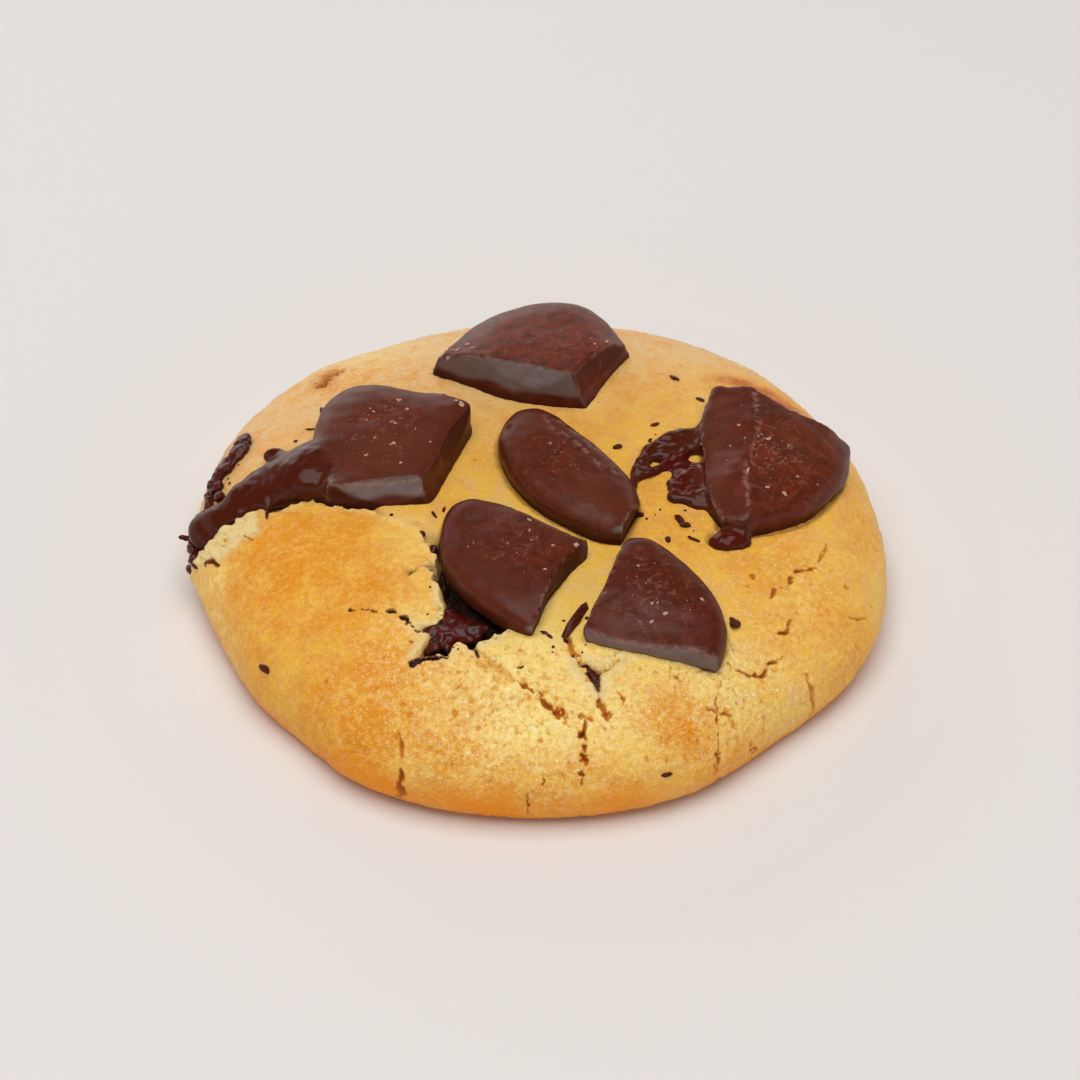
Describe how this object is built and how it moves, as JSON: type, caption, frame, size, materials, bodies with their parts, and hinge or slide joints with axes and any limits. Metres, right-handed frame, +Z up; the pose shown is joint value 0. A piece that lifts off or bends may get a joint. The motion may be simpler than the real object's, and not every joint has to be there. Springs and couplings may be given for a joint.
{
  "type": "chocolate chunk cherry cookie",
  "caption": "Round domed drop cookie, soft and golden, with chopped chunks of dark chocolate baked into its top and a torn, cracked front crust.",
  "frame": {"origin": "middle of the flat underside, on the surface the cookie rests on", "axes": "+Z up through the dome, +Y to the back chunk, +X to the cookie's right seen from the front"},
  "size_m": [0.0902, 0.0871, 0.0222],
  "materials": {
    "dough": "baked cookie dough: golden, matte to faintly satin, with a fine-grained crust and paler crumb where it is broken",
    "chocolate": "dark chocolate, satin, with a paler grey-brown sheen on knife-cut faces",
    "melted_filling": "melted dark chocolate with cherry, glossy and dark red-brown"
  },
  "bodies": {
    "root": {"dough": "dough", "chunk_back": "chocolate", "chunk_left": "chocolate", "chunk_centre": "chocolate", "chunk_right": "chocolate", "chunk_front_left": "chocolate", "chunk_front_right": "chocolate", "melt_front": "melted_filling"}
  },
  "joints": []
}
